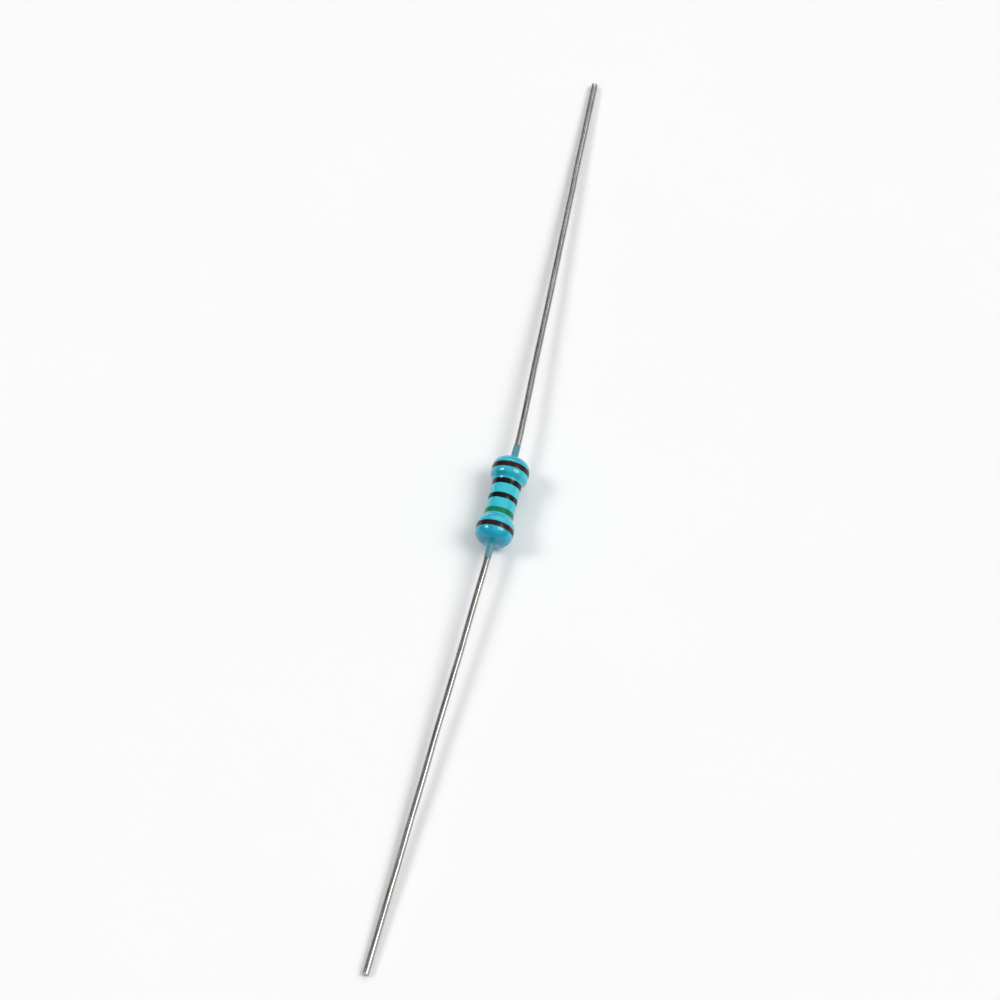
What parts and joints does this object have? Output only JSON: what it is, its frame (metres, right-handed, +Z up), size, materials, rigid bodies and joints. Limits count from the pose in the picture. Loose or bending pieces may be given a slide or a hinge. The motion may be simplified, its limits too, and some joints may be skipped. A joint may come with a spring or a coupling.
{
  "type": "axial resistor",
  "caption": "Axial-lead resistor: a small dog-bone body with rounded ends and colour bands around it, and a long thin wire lead out of each end.",
  "frame": {"origin": "centre of the body, on the body's axis", "axes": "+X along the body's axis, from the band that is read first towards the tolerance band; +Z up, away from the flat surface that the part lies on"},
  "size_m": [0.062, 0.0027, 0.0024],
  "materials": {
    "ceramic": "matte fired alumina",
    "resistive_film": "thin dark metal film",
    "cap_metal": "pressed and tinned steel",
    "lead_metal": "drawn wire with a dull tin coat",
    "lacquer": "dipped turquoise lacquer, glossy",
    "brown_paint": "thin ring of brown paint",
    "green_paint": "thin ring of green paint",
    "black_paint": "thin ring of black paint"
  },
  "bodies": {
    "root": {"ceramic_rod": "ceramic", "metal_film": "resistive_film", "left_end_cap": "cap_metal", "right_end_cap": "cap_metal", "left_lead": "lead_metal", "right_lead": "lead_metal", "lacquer_coat": "lacquer", "first_digit_band": "brown_paint", "second_digit_band": "green_paint", "third_digit_band": "black_paint", "multiplier_band": "black_paint", "tolerance_band": "brown_paint"}
  },
  "joints": []
}
